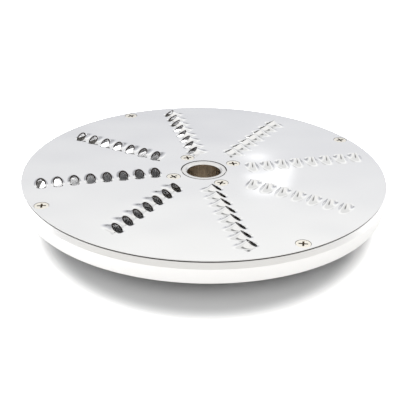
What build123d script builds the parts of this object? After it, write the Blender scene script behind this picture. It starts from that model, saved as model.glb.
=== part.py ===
"""Grating disc of a vegetable cutter: a toothed sheet plate screwed to a cast wheel.

The origin is on the bore's axis at the hub's lower face, with +Z up. Lengths are millimetres.
"""

import os
from math import cos, radians, sin, tan

from build123d import *

# Wheel
WHEEL_DIAMETER = 205.0
BORE_DIAMETER = 19.0
BORE_CHAMFER = 0.9
RIM_HEIGHT = 11.2
RIM_WALL = 9.0
RIM_BEVEL_HEIGHT = 3.0
RIM_BEVEL_WIDTH = 1.2
RIM_TAPER = 1.2
HUB_DIAMETER = 47.0
HUB_DROP = 8.0
PILOT_DIAMETER = 24.7
PILOT_RECESS = 0.1
SPOKE_COUNT = 4
SPOKE_WIDTH = 9.0
SPOKE_RELIEF = 1.8
SPOKE_DEPTH = 6.5
WINDOW_CORNER = 5.0
DRIVE_SLOT_WIDTH = 6.0
DRIVE_SLOT_DEPTH = 6.0

# Plate
PLATE_DIAMETER = 203.6
PLATE_THICKNESS = 1.0
PILOT_CLEARANCE = 0.7

# Teeth
PATTERN_COUNT = 2
ROW_SHIFTS = (1, 2, 0, 3)
LONG_ROW_TEETH = 8
TOOTH_PITCH = 9.0
FIRST_TOOTH_RADIUS = 25.7
FIRST_ROW_ANGLE = 15.0
TOOTH_HEIGHT = 3.3
TOOTH_WIDTH = 7.0
TOOTH_WALL = 0.8
TOOTH_TAIL = 7.6
TOOTH_MOUTH = 5.3
TOOTH_LEAD = 2.2
TOOTH_BACK_HEIGHT = 2.2
TOOTH_BACK_TAPER = 0.85
LIP_SLANT = 1.3
LIP_THICKNESS = 0.5
MOUTH_OVERCUT = 0.1
HOLLOW_TAIL = 4.9
MOUTH_FACETS = 4
DOME_FACETS = 3
HOLLOW_FACETS = 2

# Screws
SCREW_ANGLE = 30.0
RIM_SCREW_RADIUS = 96.2
HUB_SCREW_RADIUS = 19.3
SCREW_DIAMETER = 4.0
SCREW_LENGTH = 9.0
SCREW_HEAD_DIAMETER = 7.6
SCREW_HEAD_ANGLE = 90.0
SCREW_SIDES = 12
SCREW_SINK = 0.1
SCREW_CLEARANCE = 0.05
TAPPED_RUNOUT = 1.5
RECESS_SPAN = 4.0
RECESS_SLOT = 1.0
RECESS_DEPTH = 1.4

# Heights and radii that follow
wheel_radius = WHEEL_DIAMETER / 2
bore_radius = BORE_DIAMETER / 2
hub_radius = HUB_DIAMETER / 2
pilot_radius = PILOT_DIAMETER / 2
plate_radius = PLATE_DIAMETER / 2
plate_hole_radius = pilot_radius + PILOT_CLEARANCE
rim_inner_radius = wheel_radius - RIM_WALL
rim_middle_radius = wheel_radius - RIM_WALL / 2
rim_bottom = HUB_DROP
seat = rim_bottom + RIM_HEIGHT
plate_top = seat + PLATE_THICKNESS
pilot_top = plate_top - PILOT_RECESS
spoke_top = seat - SPOKE_RELIEF
screw_top = plate_top - SCREW_SINK

# At every spoke, a screw in the rim and one in the hub
screw_places = [(radius, 0, screw_top) for radius in (RIM_SCREW_RADIUS, HUB_SCREW_RADIUS)]

# A pattern of rows goes round the plate more than once, and is parted halfway between two rows
pattern_turn = 360 / PATTERN_COUNT
row_turn = pattern_turn / len(ROW_SHIFTS)
pattern_start = FIRST_ROW_ANGLE - row_turn / 2

# Each row is shifted outwards by its own share of the pitch, so that no two rows of a pattern cut
# the same tracks, and the rows shifted by half a pitch or more are one tooth shorter
tooth_places = [
    Location((0, 0, seat), (0, 0, (row + 1 / 2) * row_turn))
    * Location((FIRST_TOOTH_RADIUS + (step + shift / len(ROW_SHIFTS)) * TOOTH_PITCH, -TOOTH_LEAD, 0))
    for row, shift in enumerate(ROW_SHIFTS)
    for step in range(LONG_ROW_TEETH - 2 * shift // len(ROW_SHIFTS))
]


def turns(first, last, steps):
    """Evenly spaced turns in degrees, with both ends."""
    return [first + (last - first) * step / steps for step in range(steps + 1)]


def ring(centre, across, along, angles):
    """Points of an ellipse at the given turns in degrees, its first half axis sideways."""
    return [centre + across * sin(radians(angle)) + along * cos(radians(angle)) for angle in angles]


def screw_body(clearance, rise, length):
    """A countersunk head and its shank, many-sided, grown by a clearance and carried up by a rise."""
    slope = tan(radians(SCREW_HEAD_ANGLE / 2))
    neck = SCREW_DIAMETER / 2 + clearance
    head = SCREW_HEAD_DIAMETER / 2 + clearance
    corners = turns(0, 360, SCREW_SIDES)[1:]
    with BuildPart() as body:
        ends = []
        for radius, height in ((head + rise * slope, rise), (neck, (neck - head) / slope)):
            ends += ring(Vector(0, 0, height), Vector(radius, 0, 0), Vector(0, radius, 0), corners)
        ConvexPolyhedron(ends)
        with BuildSketch(Plane.XY.offset(-length)):
            RegularPolygon(neck, SCREW_SIDES)
        extrude(amount=length)
    return body.part


# One screw, with a cross recess in its flat head
with BuildPart() as screw:
    add(screw_body(0, 0, SCREW_LENGTH))
    with BuildSketch():
        with PolarLocations(0, 2, angular_range=180):
            Rectangle(RECESS_SPAN, RECESS_SLOT)
    extrude(amount=-RECESS_DEPTH, mode=Mode.SUBTRACT)

# The hole that it fills, countersunk through the plate and tapped a little deeper than the screw
screw_hole = screw_body(SCREW_CLEARANCE, PLATE_THICKNESS, SCREW_LENGTH + TAPPED_RUNOUT)

with BuildPart() as screws:
    with PolarLocations(0, SPOKE_COUNT, SCREW_ANGLE):
        with Locations(*screw_places):
            add(screw.part)

# The wheel: spokes left between the windows of a web, then rim and hub turned about the bore
with BuildPart() as wheel:
    with BuildSketch(Plane.XY.offset(spoke_top - SPOKE_DEPTH)):
        Circle(rim_middle_radius)
        Circle(pilot_radius, mode=Mode.SUBTRACT)
        with BuildSketch(mode=Mode.PRIVATE) as windows:
            Circle(rim_inner_radius)
            Circle(hub_radius, mode=Mode.SUBTRACT)
            with PolarLocations(0, SPOKE_COUNT, SCREW_ANGLE):
                Rectangle(wheel_radius, SPOKE_WIDTH, align=(Align.MIN, Align.CENTER), mode=Mode.SUBTRACT)
            fillet(windows.vertices(), WINDOW_CORNER)
        add(windows.sketch, mode=Mode.SUBTRACT)
    extrude(amount=SPOKE_DEPTH)
    with BuildSketch(Plane.XZ):
        with BuildLine():
            Polyline(
                (rim_inner_radius, rim_bottom),
                (wheel_radius - RIM_TAPER, rim_bottom),
                (wheel_radius, seat - RIM_BEVEL_HEIGHT),
                (wheel_radius - RIM_BEVEL_WIDTH, seat),
                (rim_inner_radius, seat),
                close=True,
            )
        make_face()
        with BuildLine():
            Polyline(
                (bore_radius, 0),
                (hub_radius, 0),
                (hub_radius, seat),
                (pilot_radius, seat),
                (pilot_radius, pilot_top),
                (bore_radius + BORE_CHAMFER, pilot_top),
                (bore_radius, pilot_top - BORE_CHAMFER),
                close=True,
            )
        make_face()
    revolve(axis=Axis.Z)
    with BuildSketch():
        Rectangle(HUB_DIAMETER, DRIVE_SLOT_WIDTH, rotation=SCREW_ANGLE)
    extrude(amount=DRIVE_SLOT_DEPTH, mode=Mode.SUBTRACT)
    with PolarLocations(0, SPOKE_COUNT, SCREW_ANGLE):
        with Locations(*screw_places):
            add(screw_hole, mode=Mode.SUBTRACT)


def tooth_body(half_width, lip, front, back, tail, floor, arch_facets):
    """A pressed bump in flat facets: an oval mouth from lip to front, an arch at its back and a tail."""
    centre = (lip + front) / 2
    across = Vector(half_width, 0, 0)
    upper = ring(centre, across, lip - centre, turns(-90, 90, MOUTH_FACETS)[1:-1])
    lower = ring(centre, across, lip - centre, turns(90, 270, MOUTH_FACETS))
    foot = Vector(0, back.Y, PLATE_THICKNESS)
    arch = ring(foot, across * TOOTH_BACK_TAPER, back - foot, turns(-90, 90, arch_facets))
    sunk = [Vector(point.X, point.Y, floor) for point in lower + [arch[0], arch[-1], tail]]
    with BuildPart() as body:
        ConvexPolyhedron(upper + lower + arch + [tail] + sunk)
    return body.part


# The raised half of a tooth, from its tail up to the slanted mouth
tooth_dome = tooth_body(
    half_width=TOOTH_WIDTH / 2,
    lip=Vector(0, 0, PLATE_THICKNESS + TOOTH_HEIGHT),
    front=Vector(0, TOOTH_MOUTH, PLATE_THICKNESS),
    back=Vector(0, -TOOTH_TAIL / 2, PLATE_THICKNESS + TOOTH_BACK_HEIGHT),
    tail=Vector(0, -TOOTH_TAIL, PLATE_THICKNESS),
    floor=PLATE_THICKNESS / 2,
    arch_facets=DOME_FACETS,
)

# The hollow under it, open below and through the mouth
tooth_hollow = tooth_body(
    half_width=TOOTH_WIDTH / 2 - TOOTH_WALL,
    lip=Vector(0, LIP_SLANT, PLATE_THICKNESS + TOOTH_HEIGHT - LIP_THICKNESS),
    front=Vector(0, TOOTH_MOUTH, PLATE_THICKNESS + MOUTH_OVERCUT),
    back=Vector(0, TOOTH_WALL - TOOTH_TAIL / 2, PLATE_THICKNESS + TOOTH_BACK_HEIGHT - TOOTH_WALL),
    tail=Vector(0, -HOLLOW_TAIL, PLATE_THICKNESS / 2),
    floor=-PLATE_THICKNESS,
    arch_facets=HOLLOW_FACETS,
)

# One pattern of the sheet plate with its teeth
with BuildPart() as plate_pattern:
    with BuildSketch(Plane.XZ):
        with BuildLine():
            Polyline(
                (plate_hole_radius, seat),
                (plate_radius, seat),
                (plate_radius, plate_top),
                (plate_hole_radius, plate_top),
                close=True,
            )
        make_face()
    revolve(axis=Axis.Z, revolution_arc=pattern_turn)
    with Locations(*tooth_places):
        add(tooth_dome)
    with Locations(*tooth_places):
        add(tooth_hollow, mode=Mode.SUBTRACT)

# The whole plate, countersunk over the wheel's tapped holes
with BuildPart() as plate:
    with PolarLocations(0, PATTERN_COUNT, pattern_start):
        add(plate_pattern.part)
    with PolarLocations(0, SPOKE_COUNT, SCREW_ANGLE):
        with Locations(*screw_places):
            add(screw_hole, mode=Mode.SUBTRACT)

os.makedirs("parts", exist_ok=True)

plate.part.label = "grater_plate"
wheel.part.label = "cast_wheel"
screws.part.label = "countersunk_screws"

export_step(plate.part, "parts/grater_plate.step")
export_step(wheel.part, "parts/cast_wheel.step")
export_step(screws.part, "parts/countersunk_screws.step")
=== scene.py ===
"""Looks of a vegetable cutter's grating disc: a toothed stainless plate on a spoked aluminium wheel."""

from math import cos, pi, radians, sin, tan
from random import Random

import bmesh
import bpy
from mathutils import Matrix, Vector
from mathutils.geometry import delaunay_2d_cdt


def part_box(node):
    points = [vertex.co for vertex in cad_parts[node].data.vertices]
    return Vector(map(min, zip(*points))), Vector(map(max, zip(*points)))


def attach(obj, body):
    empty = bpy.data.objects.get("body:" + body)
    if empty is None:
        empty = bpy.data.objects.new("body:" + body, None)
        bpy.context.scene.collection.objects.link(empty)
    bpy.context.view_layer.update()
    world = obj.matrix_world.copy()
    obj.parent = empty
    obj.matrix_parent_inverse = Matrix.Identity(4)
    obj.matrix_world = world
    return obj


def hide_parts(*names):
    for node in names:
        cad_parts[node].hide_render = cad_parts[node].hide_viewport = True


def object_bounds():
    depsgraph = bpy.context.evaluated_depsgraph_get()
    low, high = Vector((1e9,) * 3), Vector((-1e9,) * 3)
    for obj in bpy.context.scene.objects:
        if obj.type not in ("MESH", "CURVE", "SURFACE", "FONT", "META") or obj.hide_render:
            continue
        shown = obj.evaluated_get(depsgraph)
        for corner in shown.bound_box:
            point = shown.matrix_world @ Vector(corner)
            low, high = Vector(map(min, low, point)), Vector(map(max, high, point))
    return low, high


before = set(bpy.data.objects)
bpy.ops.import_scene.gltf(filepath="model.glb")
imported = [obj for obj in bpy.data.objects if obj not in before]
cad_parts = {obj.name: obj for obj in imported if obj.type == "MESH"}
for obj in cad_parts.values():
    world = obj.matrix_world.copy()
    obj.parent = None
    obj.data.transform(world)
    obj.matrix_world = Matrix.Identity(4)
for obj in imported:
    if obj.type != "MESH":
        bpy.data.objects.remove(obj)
cad_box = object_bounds()
MM = 0.001


# Wheel.
# An aluminium casting of rim, spokes and hub in one piece. Rim and hub are turned on a lathe, the hub is
# bored through for the machine's shaft, and the spokes are left as they came from the mould.
def linear(colour):
    """An sRGB hex colour as linear red, green, blue and alpha."""
    parts = [int(colour[place:place + 2], 16) / 255 for place in (1, 3, 5)]
    return [part / 12.92 if part < 0.04045 else ((part + 0.055) / 1.055) ** 2.4 for part in parts] + [1]


def add_node(tree, kind, inputs=None, **settings):
    """Adds a node with its settings; an input is given as a value or as the output that it is linked to."""
    node = tree.nodes.new(kind)
    for name, value in settings.items():
        setattr(node, name, value)
    for name, value in (inputs or {}).items():
        if isinstance(value, bpy.types.NodeSocket):
            tree.links.new(value, node.inputs[name])
        else:
            node.inputs[name].default_value = value
    return node


def new_material(name):
    """An empty material: its tree and its surface socket."""
    material = bpy.data.materials.new(name)
    material.use_nodes = True
    tree = material.node_tree
    tree.nodes.clear()
    output = add_node(tree, "ShaderNodeOutputMaterial")
    return material, tree, output.inputs["Surface"]


def make_piece(name, mesh):
    """A new object in the scene, at the origin."""
    piece = bpy.data.objects.new(name, mesh)
    bpy.context.collection.objects.link(piece)
    return piece


MERGE_DISTANCE = 0.002


def smooth_by_angle(mesh, sharpest):
    """Shades a mesh smooth, apart from the edges that turn by more than an angle in degrees."""
    shell = bmesh.new()
    shell.from_mesh(mesh)
    bmesh.ops.remove_doubles(shell, verts=shell.verts, dist=MERGE_DISTANCE * MM)
    for face in shell.faces:
        face.smooth = True
    for edge in shell.edges:
        edge.smooth = edge.smooth and edge.is_manifold and edge.calc_face_angle(0) < radians(sharpest)
    shell.to_mesh(mesh)
    shell.free()


# Turned aluminium: a satin sheen with fine rings round the axis. The lathe's own rings are too fine to show,
# and are drawn coarser here.
TURNING_PITCH = 0.35
RING_STRENGTH = 0.12
RING_DEPTH = 0.05

aluminium, tree, surface = new_material("turned_cast_aluminium")
place = add_node(tree, "ShaderNodeTexCoord").outputs["Object"]
axes = add_node(tree, "ShaderNodeSeparateXYZ", {0: place})
flat_place = add_node(tree, "ShaderNodeCombineXYZ", {0: axes.outputs[0], 1: axes.outputs[1]})
radius = add_node(tree, "ShaderNodeVectorMath", {0: flat_place.outputs[0]}, operation="LENGTH")
travel = add_node(tree, "ShaderNodeMath", {0: radius.outputs["Value"], 1: axes.outputs[2]}, operation="ADD")
rings = add_node(
    tree, "ShaderNodeTexNoise", {"W": travel.outputs[0], "Scale": 1 / (TURNING_PITCH * MM), "Detail": 2},
    noise_dimensions="1D",
)
ring_bump = add_node(
    tree, "ShaderNodeBump",
    {"Height": rings.outputs["Fac"], "Strength": RING_STRENGTH, "Distance": RING_DEPTH * MM},
)
skin = add_node(
    tree, "ShaderNodeBsdfPrincipled",
    {"Base Color": linear("#eeedec"), "Metallic": 1, "Roughness": 0.28, "Normal": ring_bump.outputs[0]},
)
tree.links.new(skin.outputs[0], surface)

# Bored aluminium, painted darker and browner than the rim as the shade inside the deep bore, with streaks
# along the bore that are painted reflections.
BORE_RADIUS = 9.5
BORE_MARGIN = 0.05
PAINTED_STREAK_WIDTH = 1.2
PAINTED_STREAK_STRETCH = (1, 1, 0.04)

painted_shade_bore, tree, surface = new_material("bore_aluminium_painted_shade")
place = add_node(tree, "ShaderNodeTexCoord").outputs["Object"]
drawn_out = add_node(tree, "ShaderNodeVectorMath", {0: place, 1: PAINTED_STREAK_STRETCH}, operation="MULTIPLY")
painted_reflection_streaks = add_node(
    tree, "ShaderNodeTexNoise",
    {"Vector": drawn_out.outputs[0], "Scale": 1 / (PAINTED_STREAK_WIDTH * MM), "Detail": 3},
)
# Painted shade and painted reflections: the bore's colour runs between dark brown and pale cream along the
# streaks
shade = add_node(
    tree, "ShaderNodeMix",
    {0: painted_reflection_streaks.outputs["Fac"], 6: linear("#a89d8e"), 7: linear("#f0e6d8")},
    data_type="RGBA",
)
skin = add_node(
    tree, "ShaderNodeBsdfPrincipled", {"Base Color": shade.outputs[2], "Metallic": 1, "Roughness": 0.3}
)
tree.links.new(skin.outputs[0], surface)

# Cast aluminium as it left the mould, on the spokes and the walls between them: grey, dull and grainy as a
# casting is, and darker than that as painted shade under the plate.
HUB_RADIUS = 23.5
RIM_INNER_RADIUS = 93.5
CAST_MARGIN = 0.1
CAST_GRAIN = 0.9
GRAIN_STRENGTH = 0.4
GRAIN_DEPTH = 0.15

cast, tree, surface = new_material("cast_aluminium_skin_painted_shade")
place = add_node(tree, "ShaderNodeTexCoord").outputs["Object"]
grain = add_node(tree, "ShaderNodeTexNoise", {"Vector": place, "Scale": 1 / (CAST_GRAIN * MM), "Detail": 3})
grain_bump = add_node(
    tree, "ShaderNodeBump",
    {"Height": grain.outputs["Fac"], "Strength": GRAIN_STRENGTH, "Distance": GRAIN_DEPTH * MM},
)
# Darker than a casting's own grey: painted shade under the plate
skin = add_node(
    tree, "ShaderNodeBsdfPrincipled",
    {"Base Color": linear("#8d8a86"), "Metallic": 1, "Roughness": 0.5, "Normal": grain_bump.outputs[0]},
)
tree.links.new(skin.outputs[0], surface)

# The casting's own mesh, with a finish for each of its faces by how far they are from the axis; the finishes
# of the bore and of the walls between the spokes carry painted shade
TURNED, PAINTED_SHADE_BORE, AS_CAST_PAINTED_SHADE = range(3)
WHEEL_SHARPEST = 25

wheel_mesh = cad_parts["cast_wheel"].data.copy()
wheel_mesh.materials.clear()
for finish in (aluminium, painted_shade_bore, cast):
    wheel_mesh.materials.append(finish)
if "custom_normal" in wheel_mesh.attributes:
    wheel_mesh.attributes.remove(wheel_mesh.attributes["custom_normal"])
smooth_by_angle(wheel_mesh, WHEEL_SHARPEST)
for polygon in wheel_mesh.polygons:
    reaches = [wheel_mesh.vertices[corner].co.xy.length / MM for corner in polygon.vertices]
    if max(reaches) < BORE_RADIUS + BORE_MARGIN:
        polygon.material_index = PAINTED_SHADE_BORE
    elif min(reaches) > HUB_RADIUS - CAST_MARGIN and max(reaches) < RIM_INNER_RADIUS + CAST_MARGIN:
        polygon.material_index = AS_CAST_PAINTED_SHADE
    else:
        polygon.material_index = TURNED
wheel = make_piece("turned_wheel", wheel_mesh)
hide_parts("cast_wheel")
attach(wheel, "root")


# Plate.
# Stainless sheet, punched round and polished, with rows of teeth pressed up from it. Each tooth is a small
# hood whose arched lip does the cutting, over a mouth that is cut through the flat sheet in front of it.
PLATE_THICKNESS = 1.0
PLATE_HOLE_RADIUS = 13.05
PATTERN_COUNT = 2
ROW_SHIFTS = (1, 2, 0, 3)
LONG_ROW_TEETH = 8
TOOTH_PITCH = 9.0
FIRST_TOOTH_RADIUS = 25.7
FIRST_ROW_ANGLE = 15.0
LIP_HEIGHT = 3.05
LIP_PLACE = -2.45
MOUTH_FRONT = 3.0
MOUTH_HALF_WIDTH = 2.7
MOUTH_CURVE = 1.3
FRONT_DIP = 0.45
LIP_WALL = 0.75
HOOD_HALF_WIDTH = 4.05
HOOD_TAIL = -10.0
HOOD_FRONT = 4.6
HOOD_EASE = 2.3
FLAT_MARGIN = 0.2
MOUTH_STEPS = 44
HOOD_STEPS = 9
NORMAL_STEP = 0.01

plate_low, plate_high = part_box("grater_plate")
plate_radius = plate_high.x / MM
plate_top = plate_low.z / MM + PLATE_THICKNESS


def hood_point(turn, share):
    """A point of the sheet's upper face: turn goes round the mouth from its lip, share out from its rim."""
    middle = (LIP_PLACE + MOUTH_FRONT) / 2
    reach = middle - LIP_PLACE
    foot = middle - HOOD_TAIL if cos(turn) > 0 else HOOD_FRONT - middle
    along = reach + (foot - reach) * share
    across = MOUTH_HALF_WIDTH + (HOOD_HALF_WIDTH - MOUTH_HALF_WIDTH) * share
    rise = ((1 + cos(turn)) / 2) ** MOUTH_CURVE
    fall = (1 - share) ** HOOD_EASE
    height = ((LIP_HEIGHT + FRONT_DIP) * rise - FRONT_DIP) * fall
    return Vector((across * sin(turn), middle - along * cos(turn), height))


def hood_normal(turn, share):
    """The upper face's normal there, from two short steps along the face."""
    near = min(max(share, NORMAL_STEP), 1 - NORMAL_STEP)
    round_step = hood_point(turn + NORMAL_STEP, near) - hood_point(turn - NORMAL_STEP, near)
    outward_step = hood_point(turn, near + NORMAL_STEP) - hood_point(turn, near - NORMAL_STEP)
    normal = outward_step.cross(round_step).normalized()
    return normal if normal.z > 0 else -normal


def tooth_mesh():
    """One tooth in its oval of sheet: the upper face, the lower face and the cut edge of the mouth."""
    upper = []
    lower = []
    for step in range(HOOD_STEPS + 2):
        share = min(step / HOOD_STEPS, 1)
        wall = LIP_WALL + (PLATE_THICKNESS - LIP_WALL) * share
        margin = FLAT_MARGIN if step > HOOD_STEPS else 0
        for corner in range(MOUTH_STEPS):
            turn = 2 * pi * corner / MOUTH_STEPS
            point = hood_point(turn, share) + margin * Vector((sin(turn), -cos(turn), 0))
            normal = hood_normal(turn, share) if share < 1 else Vector((0, 0, 1))
            upper.append(point)
            lower.append(point - normal * wall)
    faces = []
    for corner in range(MOUTH_STEPS):
        after = (corner + 1) % MOUTH_STEPS
        faces.append((corner, after, len(upper) + after, len(upper) + corner))
        for ring in range(0, MOUTH_STEPS * (HOOD_STEPS + 1), MOUTH_STEPS):
            quad = (ring + corner, ring + MOUTH_STEPS + corner, ring + MOUTH_STEPS + after, ring + after)
            faces.append(quad)
            faces.append(tuple(len(upper) + place for place in reversed(quad)))
    mesh = bpy.data.meshes.new("tooth")
    mesh.from_pydata([point * MM for point in upper + lower], [], faces)
    cut = mesh.attributes.new("cut_edge", "INT", "FACE")
    cut.data.foreach_set("value", [int(len({place // len(upper) for place in face}) == 2) for face in faces])
    return mesh


def copies_tree():
    """A copy of one object at every point, turned about the upright axis by the point's own turn."""
    group = bpy.data.node_groups.new("turned_copies", "GeometryNodeTree")
    face = group.interface
    face.new_socket("Points", in_out="INPUT", socket_type="NodeSocketGeometry")
    face.new_socket("Model", in_out="INPUT", socket_type="NodeSocketObject")
    face.new_socket("Material", in_out="INPUT", socket_type="NodeSocketMaterial")
    face.new_socket("Geometry", in_out="OUTPUT", socket_type="NodeSocketGeometry")
    given = add_node(group, "NodeGroupInput").outputs
    turn = add_node(group, "GeometryNodeInputNamedAttribute", {"Name": "turn"}, data_type="FLOAT")
    heading = add_node(group, "ShaderNodeCombineXYZ", {2: turn.outputs[0]})
    turned = add_node(group, "FunctionNodeEulerToRotation", {0: heading.outputs[0]})
    model = add_node(group, "GeometryNodeObjectInfo", {"Object": given["Model"], "As Instance": True})
    copies = add_node(
        group, "GeometryNodeInstanceOnPoints",
        {"Points": given["Points"], "Instance": model.outputs["Geometry"], "Rotation": turned.outputs[0]},
    )
    solid = add_node(group, "GeometryNodeRealizeInstances", {0: copies.outputs[0]})
    dressed = add_node(group, "GeometryNodeSetMaterial", {0: solid.outputs[0], "Material": given["Material"]})
    add_node(group, "NodeGroupOutput", {0: dressed.outputs[0]})
    return group


turned_copies = copies_tree()


def copied(name, model_mesh, spots, material):
    """The plain mesh of copies of a model at spots of x, y, z in millimetres and a turn in radians."""
    points = bpy.data.meshes.new(name)
    points.from_pydata([Vector(spot[:3]) * MM for spot in spots], [], [])
    turns = points.attributes.new("turn", "FLOAT", "POINT")
    turns.data.foreach_set("value", [spot[3] for spot in spots])
    model = make_piece(name + "_model", model_mesh)
    piece = make_piece(name, points)
    modifier = piece.modifiers.new(name, "NODES")
    modifier.node_group = turned_copies
    values = {"Model": model, "Material": material}
    for socket in turned_copies.interface.items_tree:
        if socket.name in values:
            modifier[socket.identifier] = values[socket.name]
    bpy.context.view_layer.update()
    view = piece.evaluated_get(bpy.context.evaluated_depsgraph_get())
    mesh = bpy.data.meshes.new_from_object(view)
    bpy.data.objects.remove(piece)
    bpy.data.objects.remove(model)
    mesh.materials.clear()
    return mesh


def circle(radius, count, middle=(0, 0)):
    """Points round a circle."""
    turns = [2 * pi * step / count for step in range(count)]
    return [Vector((middle[0] + radius * cos(turn), middle[1] + radius * sin(turn))) for turn in turns]


# Polished stainless sheet: it mirrors the room, a little wavily.
SHEET_WAVE = 28.0
SHEET_WAVE_HEIGHT = 0.35

steel, tree, surface = new_material("polished_stainless")
place = add_node(tree, "ShaderNodeTexCoord").outputs["Object"]
waves = add_node(
    tree, "ShaderNodeTexNoise", {"Vector": place, "Scale": 1 / (SHEET_WAVE * MM), "Detail": 0}
)
wave_bump = add_node(
    tree, "ShaderNodeBump",
    {"Height": waves.outputs["Fac"], "Strength": 1, "Distance": SHEET_WAVE_HEIGHT * MM},
)
skin = add_node(
    tree, "ShaderNodeBsdfPrincipled",
    {"Base Color": linear("#f3f3f4"), "Metallic": 1, "Roughness": 0.08, "Normal": wave_bump.outputs[0]},
)
tree.links.new(skin.outputs[0], surface)


def bare_metal(name, colour, roughness):
    """A material of one plain metal."""
    material, tree, surface = new_material(name)
    skin = add_node(
        tree, "ShaderNodeBsdfPrincipled",
        {"Base Color": linear(colour), "Metallic": 1, "Roughness": roughness},
    )
    tree.links.new(skin.outputs[0], surface)
    return material


# Unpolished stainless, on the sheet's underside: grey and dull, and darker than that as painted shade under
# the plate.
underside_painted_shade = bare_metal("stainless_underside_painted_shade", "#8b8b8c", 0.35)

# Sheared stainless, where the sheet is cut: rough, and dark as painted shade, so that cut edges show as dark
# lines of painted shadow.
cut_face_painted_shade = bare_metal("stainless_edge_painted_shade", "#3a3430", 0.5)

# The rows of teeth, each shifted outwards by its own share of the pitch
POLISHED, CUT_FACE_PAINTED_SHADE, UNDERSIDE_PAINTED_SHADE = range(3)

tooth_spots = []
for row in range(PATTERN_COUNT * len(ROW_SHIFTS)):
    shift = ROW_SHIFTS[row % len(ROW_SHIFTS)] / len(ROW_SHIFTS)
    turn = radians(FIRST_ROW_ANGLE + 360 * row / (PATTERN_COUNT * len(ROW_SHIFTS)))
    for step in range(LONG_ROW_TEETH - int(2 * shift)):
        reach = FIRST_TOOTH_RADIUS + (step + shift) * TOOTH_PITCH
        tooth_spots.append((reach * cos(turn), reach * sin(turn), plate_top, turn))
plate_mesh = copied("tooth_rows", tooth_mesh(), tooth_spots, steel)
for finish in (steel, cut_face_painted_shade, underside_painted_shade):
    plate_mesh.materials.append(finish)

shell = bmesh.new()
shell.from_mesh(plate_mesh)
cut_edge = shell.faces.layers.int["cut_edge"]
# Cut faces take the near-black painted shade
for face in shell.faces:
    face.material_index = CUT_FACE_PAINTED_SHADE if face[cut_edge] else POLISHED

# The sheet's outer edge, from its rounded top to the groove that is left over the wheel, whose dark is
# painted shade, and its holes
EDGE_ROUND = 0.25
EDGE_ROUND_STEPS = 3
EDGE_BREAK = 0.5
EDGE_INSET = 0.35
GROOVE_DEPTH = 0.9
EDGE_COUNT = 288
HOLE_COUNT = 96
SCREW_HOLE_COUNT = 40
SPOKE_COUNT = 4
SCREW_ANGLE = 30.0
RIM_SCREW_RADIUS = 96.2
HUB_SCREW_RADIUS = 19.3
COUNTERSINK_RADIUS = 3.98
COUNTERSINK_FOOT = 2.98

spoke_turns = [radians(SCREW_ANGLE + 360 / SPOKE_COUNT * spoke) for spoke in range(SPOKE_COUNT)]
screw_spots = [
    (radius * cos(turn), radius * sin(turn))
    for turn in spoke_turns
    for radius in (RIM_SCREW_RADIUS, HUB_SCREW_RADIUS)
]


def wall(sections, count, middle=(0, 0)):
    """The wall of an edge or hole, through sections of radius, height and material."""
    rings = [
        [
            shell.verts.new(Vector((spot.x, spot.y, plate_top + height)) * MM)
            for spot in circle(radius, count, middle)
        ]
        for radius, height, _ in sections
    ]
    for upper, lower, section in zip(rings, rings[1:], sections):
        for step in range(count):
            after = (step + 1) % count
            face = shell.faces.new((upper[step], lower[step], lower[after], upper[after]))
            face.material_index = section[2]
    for rim in (rings[0], rings[-1]):
        for start, end in zip(rim, rim[1:] + rim[:1]):
            shell.edges.get((start, end)).smooth = False


edge_radius = plate_radius - EDGE_INSET
edge_sections = []
for step in range(EDGE_ROUND_STEPS + 1):
    lean = pi / 2 * step / EDGE_ROUND_STEPS
    edge_sections.append((
        edge_radius - EDGE_ROUND + EDGE_ROUND * sin(lean),
        EDGE_ROUND * cos(lean) - EDGE_ROUND,
        CUT_FACE_PAINTED_SHADE if step == EDGE_ROUND_STEPS else POLISHED,
    ))
edge_sections.append((edge_radius, -EDGE_BREAK, CUT_FACE_PAINTED_SHADE))
edge_sections.append((edge_radius - GROOVE_DEPTH, -EDGE_BREAK, CUT_FACE_PAINTED_SHADE))
edge_sections.append((edge_radius - GROOVE_DEPTH, -PLATE_THICKNESS, CUT_FACE_PAINTED_SHADE))
hole_sections = [(PLATE_HOLE_RADIUS, 0, CUT_FACE_PAINTED_SHADE), (PLATE_HOLE_RADIUS, -PLATE_THICKNESS, CUT_FACE_PAINTED_SHADE)]
sink_sections = [(COUNTERSINK_RADIUS, 0, CUT_FACE_PAINTED_SHADE), (COUNTERSINK_FOOT, -PLATE_THICKNESS, CUT_FACE_PAINTED_SHADE)]

wall(edge_sections, EDGE_COUNT)
wall(hole_sections, HOLE_COUNT)
for spot in screw_spots:
    wall(sink_sections, SCREW_HOLE_COUNT, spot)


HEIGHT_TOLERANCE = 0.01
FILL_TOLERANCE = 0.0001
FILL_HULL = 0
OUTER_MARGIN = 1.0


def fill_sheet(height):
    """Fills the flat sheet at a height between its outer edge and every hole, each an oval of its own."""
    rims = {
        edge for edge in shell.edges
        if edge.is_boundary
        and all(abs(vertex.co.z / MM - height) < HEIGHT_TOLERANCE for vertex in edge.verts)
    }
    oval = {}
    for edge in rims:
        pending = [edge.verts[0]]
        while pending:
            vertex = pending.pop()
            if vertex not in oval:
                oval[vertex] = oval.get(edge.verts[0], edge.index)
                pending += [link.other_vert(vertex) for link in vertex.link_edges if link in rims]
    corners = list(oval)
    order = {vertex: place for place, vertex in enumerate(corners)}
    filled = delaunay_2d_cdt(
        [vertex.co.xy / MM for vertex in corners],
        [[order[vertex] for vertex in edge.verts] for edge in rims],
        [], FILL_HULL, FILL_TOLERANCE,
    )
    for triangle in filled[2]:
        trio = [corners[filled[3][place][0]] for place in triangle]
        within_hole = len({oval[vertex] for vertex in trio}) == 1
        if not within_hole or trio[0].co.xy.length / MM > edge_radius - OUTER_MARGIN:
            shell.faces.new(trio)


FLAT_DOWN = -0.995
SHARPEST = 35

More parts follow.
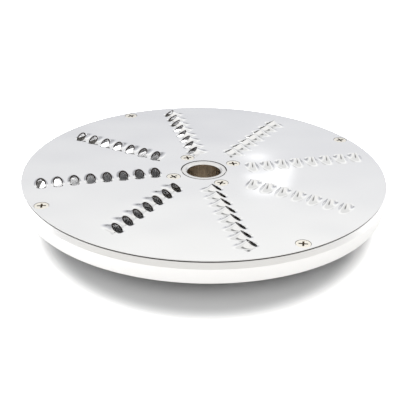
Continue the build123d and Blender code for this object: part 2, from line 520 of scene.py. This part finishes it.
shell.edges.index_update()
for height in (plate_top, plate_top - PLATE_THICKNESS):
    fill_sheet(height)
bmesh.ops.recalc_face_normals(shell, faces=shell.faces)
# Flat faces that look down take the underside's finish, whose dark grey is painted shade under the plate
for face in shell.faces:
    if face.normal.z < FLAT_DOWN and face.material_index == POLISHED:
        face.material_index = UNDERSIDE_PAINTED_SHADE
shell.to_mesh(plate_mesh)
shell.free()
smooth_by_angle(plate_mesh, SHARPEST)
plate = make_piece("toothed_plate", plate_mesh)
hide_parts("grater_plate")
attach(plate, "root")


# Screws.
# Eight countersunk steel screws, four into the rim and four into the hub. Each has a cross recess in its flat
# head, and is turned as it happened to stop.
HEAD_RADIUS = 3.85
HEAD_SINK = 0.08
HEAD_EDGE = 0.12
NECK_RADIUS = 2.0
SCREW_LENGTH = 9.0
RECESS_SPAN = 2.3
RECESS_HALF_SLOT = 0.5
RECESS_DEPTH = 1.4
RECESS_FOOT = 0.5
HEAD_COUNT = 48
SCREW_SEED = 4


def screw_mesh():
    """One screw with its head's top at height 0."""
    screw = bmesh.new()
    inner = RECESS_HALF_SLOT
    cross = [
        (RECESS_SPAN, -inner), (RECESS_SPAN, inner), (inner, inner), (inner, RECESS_SPAN),
        (-inner, RECESS_SPAN), (-inner, inner), (-RECESS_SPAN, inner), (-RECESS_SPAN, -inner),
        (-inner, -inner), (-inner, -RECESS_SPAN), (inner, -RECESS_SPAN), (inner, -inner),
    ]
    outlines = [[Vector((x, y, 0)) for x, y in cross]]
    outlines.append([Vector((x * RECESS_FOOT, y * RECESS_FOOT, -RECESS_DEPTH)) for x, y in cross])
    recess = [[screw.verts.new(spot * MM) for spot in outline] for outline in outlines]
    for step in range(len(cross)):
        after = (step + 1) % len(cross)
        screw.faces.new((recess[0][after], recess[0][step], recess[1][step], recess[1][after]))
    screw.faces.new(recess[1])
    sections = [
        (HEAD_RADIUS - HEAD_EDGE, 0), (HEAD_RADIUS, -HEAD_EDGE), (NECK_RADIUS, NECK_RADIUS - HEAD_RADIUS),
        (NECK_RADIUS, -SCREW_LENGTH),
    ]
    rings = [
        [screw.verts.new(Vector((spot.x, spot.y, height)) * MM) for spot in circle(radius, HEAD_COUNT)]
        for radius, height in sections
    ]
    for upper, lower in zip(rings, rings[1:]):
        for step in range(HEAD_COUNT):
            after = (step + 1) % HEAD_COUNT
            screw.faces.new((upper[step], lower[step], lower[after], upper[after]))
    screw.faces.new(rings[-1])
    rims = [edge for edge in screw.edges if edge.is_boundary]
    bmesh.ops.triangle_fill(screw, use_beauty=True, edges=rims, normal=(0, 0, 1))
    bmesh.ops.recalc_face_normals(screw, faces=screw.faces)
    mesh = bpy.data.meshes.new("screw")
    screw.to_mesh(mesh)
    screw.free()
    return mesh


# Bright steel, a little warmer than the sheet; the recess is painted dark as shade.
warm_steel = bare_metal("screw_steel", "#faf5ea", 0.2)
recess_painted_shade = bare_metal("screw_recess_painted_shade", "#54483b", 0.4)
chance = Random(SCREW_SEED)
head_spots = [(x, y, plate_top - HEAD_SINK, chance.uniform(0, pi / 2)) for x, y in screw_spots]
screws_mesh = copied("screw_rows", screw_mesh(), head_spots, warm_steel)
for finish in (warm_steel, recess_painted_shade):
    screws_mesh.materials.append(finish)
recess_floor = plate_top - HEAD_SINK - RECESS_DEPTH
# The faces down to the recess floor take the painted shade
for polygon in screws_mesh.polygons:
    lowest = min(screws_mesh.vertices[corner].co.z for corner in polygon.vertices) / MM
    polygon.material_index = int(abs(lowest - recess_floor) < HEIGHT_TOLERANCE)
smooth_by_angle(screws_mesh, SHARPEST)
screws = make_piece("cross_head_screws", screws_mesh)
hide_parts("countersunk_screws")
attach(screws, "root")


# Studio.
# A pale table top in a room that the polished sheet mirrors. The far wall is grey low down and lighter higher
# up, the near side is white, and there are a dark patch overhead and a small bright window in the far wall.

# The table is whiter in sight than in the light that it gives back, apart from an oval round the disc that is
# moved towards the camera: inside it the whiteness is held back, a painted shadow that sets how far the
# disc's shadow shows.
FLOOR_SIZE = 6.0
FLOOR_GAIN = 1.8
MIRRORED_GAIN = 0.76
SHADE_STRETCH = (1.09, 1, 1)
SHADE_SHIFT = 25.0
SHADE_INNER = 84.0
SHADE_OUTER = 110.0

white, tree, surface = new_material("white_table")
seen = add_node(tree, "ShaderNodeLightPath").outputs
shown = add_node(
    tree, "ShaderNodeMath", {0: seen["Is Camera Ray"], 1: seen["Is Glossy Ray"]}, operation="MAXIMUM"
)
shown = add_node(
    tree, "ShaderNodeMath", {0: shown.outputs[0], 1: seen["Is Transmission Ray"]}, operation="MAXIMUM"
)
place = add_node(tree, "ShaderNodeTexCoord").outputs["Object"]
moved = add_node(
    tree, "ShaderNodeVectorMath",
    {0: place, 1: SHADE_STRETCH, 2: (0, SHADE_SHIFT * MM, 0)},
    operation="MULTIPLY_ADD",
)
reach = add_node(tree, "ShaderNodeVectorMath", {0: moved.outputs[0]}, operation="LENGTH")
# Painted shadow: no gain inside the oval, the full gain outside it
gain_outside_painted_shadow = add_node(
    tree, "ShaderNodeMapRange",
    {
        "Value": reach.outputs["Value"], "From Min": SHADE_INNER * MM, "From Max": SHADE_OUTER * MM,
        "To Max": FLOOR_GAIN,
    },
    interpolation_type="SMOOTHSTEP",
)
whiteness = add_node(
    tree, "ShaderNodeMix",
    {0: seen["Is Camera Ray"], 2: MIRRORED_GAIN, 3: gain_outside_painted_shadow.outputs[0]},
    data_type="FLOAT",
)
plain = add_node(tree, "ShaderNodeBsdfDiffuse", {"Color": linear("#cdced0")})
gain = add_node(tree, "ShaderNodeBsdfDiffuse", {"Color": whiteness.outputs[0]})
added = add_node(tree, "ShaderNodeAddShader", {0: plain.outputs[0], 1: gain.outputs[0]})
mix = add_node(
    tree, "ShaderNodeMixShader", {0: shown.outputs[0], 1: plain.outputs[0], 2: added.outputs[0]}
)

# From below it is clear, so that the disc's underside can be seen
beneath = add_node(tree, "ShaderNodeNewGeometry").outputs["Backfacing"]
clear_glass = add_node(tree, "ShaderNodeBsdfTransparent")
one_way = add_node(tree, "ShaderNodeMixShader", {0: beneath, 1: mix.outputs[0], 2: clear_glass.outputs[0]})
tree.links.new(one_way.outputs[0], surface)

half_floor = FLOOR_SIZE / 2
floor_mesh = bpy.data.meshes.new("table_top")
corners = [(x * half_floor, y * half_floor, cad_box[0].z) for x, y in ((-1, -1), (1, -1), (1, 1), (-1, 1))]
floor_mesh.from_pydata(corners, [], [(0, 1, 2, 3)])
floor_mesh.materials.append(white)
floor = make_piece("table_top", floor_mesh)

# The room's levels, by the upward, sideways and backward parts of a direction
WALL_LOW = 0.325
WALL_RISE = 1.38
WALL_DARKEST = 0.1
WALL_LIGHTEST = 1.12
SIDE_RISE = 0.08
UPPER_START = 0.54
UPPER_END = 0.74
UPPER_LEVEL = 0.76
NEAR_SIDE = -0.35
FAR_SIDE = 0.25
NEAR_START = 0.15
NEAR_END = 0.6
NEAR_LOW = 0.82
NEAR_HIGH = 1.0
CEILING = (-0.03, -0.06, 0.998)
CEILING_NEAR = 0.992
CEILING_FAR = 0.95
CEILING_LEVEL = 0.3
WINDOW = (0.0765, 0.9060, 0.4163)
WINDOW_SHAPE = (1, 1, 2.4)
WINDOW_INNER = 0.014
WINDOW_OUTER = 0.036
WINDOW_GAIN = 0.6
TINT_START = 0.32
TINT_END = 0.5

world = bpy.data.worlds.new("pale_room")
bpy.context.scene.world = world
world.use_nodes = True
tree = world.node_tree
tree.nodes.clear()
sight = add_node(tree, "ShaderNodeTexCoord").outputs["Generated"]
axes = add_node(tree, "ShaderNodeSeparateXYZ", {0: sight}).outputs
rise = add_node(tree, "ShaderNodeMath", {0: axes[2], 1: WALL_RISE, 2: WALL_LOW}, operation="MULTIPLY_ADD")
sideways = add_node(
    tree, "ShaderNodeMath", {0: axes[0], 1: SIDE_RISE, 2: rise.outputs[0]}, operation="MULTIPLY_ADD"
)
wall_level = add_node(
    tree, "ShaderNodeClamp", {0: sideways.outputs[0], "Min": WALL_DARKEST, "Max": WALL_LIGHTEST}
)
upper = add_node(
    tree, "ShaderNodeMapRange",
    {"Value": axes[2], "From Min": UPPER_START, "From Max": UPPER_END, "To Min": 1, "To Max": UPPER_LEVEL},
    interpolation_type="SMOOTHSTEP",
)
far_level = add_node(
    tree, "ShaderNodeMath", {0: wall_level.outputs[0], 1: upper.outputs[0]}, operation="MULTIPLY"
)
behind = add_node(
    tree, "ShaderNodeMapRange",
    {"Value": axes[1], "From Min": NEAR_SIDE, "From Max": FAR_SIDE},
    interpolation_type="SMOOTHSTEP",
)
near_level = add_node(
    tree, "ShaderNodeMapRange",
    {"Value": axes[2], "From Min": NEAR_START, "From Max": NEAR_END, "To Min": NEAR_LOW, "To Max": NEAR_HIGH},
    interpolation_type="SMOOTHSTEP",
)
level = add_node(
    tree, "ShaderNodeMix",
    {0: behind.outputs[0], 2: near_level.outputs[0], 3: far_level.outputs[0]},
    data_type="FLOAT",
)
along = add_node(tree, "ShaderNodeVectorMath", {0: sight, 1: CEILING}, operation="DOT_PRODUCT")
overhead = add_node(
    tree, "ShaderNodeMapRange",
    {
        "Value": along.outputs["Value"], "From Min": CEILING_FAR, "From Max": CEILING_NEAR,
        "To Min": 1, "To Max": CEILING_LEVEL,
    },
    interpolation_type="SMOOTHSTEP",
)
dimmed = add_node(tree, "ShaderNodeMath", {0: level.outputs[0], 1: overhead.outputs[0]}, operation="MULTIPLY")
aside = add_node(tree, "ShaderNodeVectorMath", {0: sight, 1: WINDOW}, operation="SUBTRACT")
stretched = add_node(
    tree, "ShaderNodeVectorMath", {0: aside.outputs[0], 1: WINDOW_SHAPE}, operation="MULTIPLY"
)
apart = add_node(tree, "ShaderNodeVectorMath", {0: stretched.outputs[0]}, operation="LENGTH")
glow = add_node(
    tree, "ShaderNodeMapRange",
    {
        "Value": apart.outputs["Value"], "From Min": WINDOW_INNER, "From Max": WINDOW_OUTER,
        "To Min": WINDOW_GAIN, "To Max": 0,
    },
    interpolation_type="SMOOTHSTEP",
)
strength = add_node(tree, "ShaderNodeMath", {0: dimmed.outputs[0], 1: glow.outputs[0]}, operation="ADD")
higher = add_node(
    tree, "ShaderNodeMapRange", {"Value": axes[2], "From Min": TINT_START, "From Max": TINT_END}
)
wall_tint = add_node(
    tree, "ShaderNodeMix",
    {0: higher.outputs[0], 6: linear("#fafbff"), 7: linear("#fffffd")},
    data_type="RGBA",
)
tint = add_node(
    tree, "ShaderNodeMix",
    {0: behind.outputs[0], 6: linear("#fffefb"), 7: wall_tint.outputs[2]},
    data_type="RGBA",
)
room = add_node(tree, "ShaderNodeBackground", {"Color": tint.outputs[2], "Strength": strength.outputs[0]})
add_node(tree, "ShaderNodeOutputWorld", {"Surface": room.outputs[0]})

# A wide strip lamp low behind the disc throws its shadow forwards, with weak lamps overhead and on the left.
# Each has a name, width and depth in metres, watts, and a place in metres. None shows in the metal.
LAMPS = (
    ("high_softbox", 0.6, 0.6, 0.3, (0, 0.1, 1.0)),
    ("back_strip", 1.6, 0.3, 15, (-0.35, 1.0, 0.26)),
    ("left_strip", 0.6, 0.3, 2, (-0.9, 0.4, 0.2)),
)

for name, width, depth, energy, spot in LAMPS:
    softbox = bpy.data.lights.new(name, "AREA")
    softbox.shape = "RECTANGLE"
    softbox.size = width
    softbox.size_y = depth
    softbox.energy = energy
    lamp = bpy.data.objects.new(name, softbox)
    bpy.context.collection.objects.link(lamp)
    lamp.location = spot
    lamp.rotation_euler = (-lamp.location).to_track_quat("-Z", "Y").to_euler()
    lamp.visible_glossy = False


# Camera.
# A long lens a little above the disc, as in the photograph; its distance is from the plate's centre.
LENS = 77.09
SENSOR = 36.0
CAMERA_DISTANCE = 484.1
CAMERA_ELEVATION = 24.363
CAMERA_PAN = -0.225
CAMERA_TILT = -2.024
CAMERA_ROLL = 0.886

plate_centre = Vector((0, 0, plate_top * MM))
back = Vector((0, -cos(radians(CAMERA_ELEVATION)), sin(radians(CAMERA_ELEVATION))))
across = Vector((1, 0, 0))
upward = across.cross(-back)
sight = (-back + tan(radians(CAMERA_PAN)) * across + tan(radians(CAMERA_TILT)) * upward).normalized()
level = sight.cross(Vector((0, 0, 1))).normalized()
upright = level.cross(sight)
roll = radians(CAMERA_ROLL)
right = cos(roll) * level + sin(roll) * upright
top = cos(roll) * upright - sin(roll) * level
camera_data = bpy.data.cameras.new("camera")
camera_data.lens = LENS
camera_data.sensor_width = SENSOR
camera_data.sensor_fit = "HORIZONTAL"
camera = bpy.data.objects.new("camera", camera_data)
bpy.context.collection.objects.link(camera)
turn = Matrix((right, top, -sight)).transposed().to_4x4()
camera.matrix_world = Matrix.Translation(plate_centre + back * CAMERA_DISTANCE * MM) @ turn
bpy.context.scene.camera = camera
bpy.context.scene.view_settings.view_transform = "Standard"
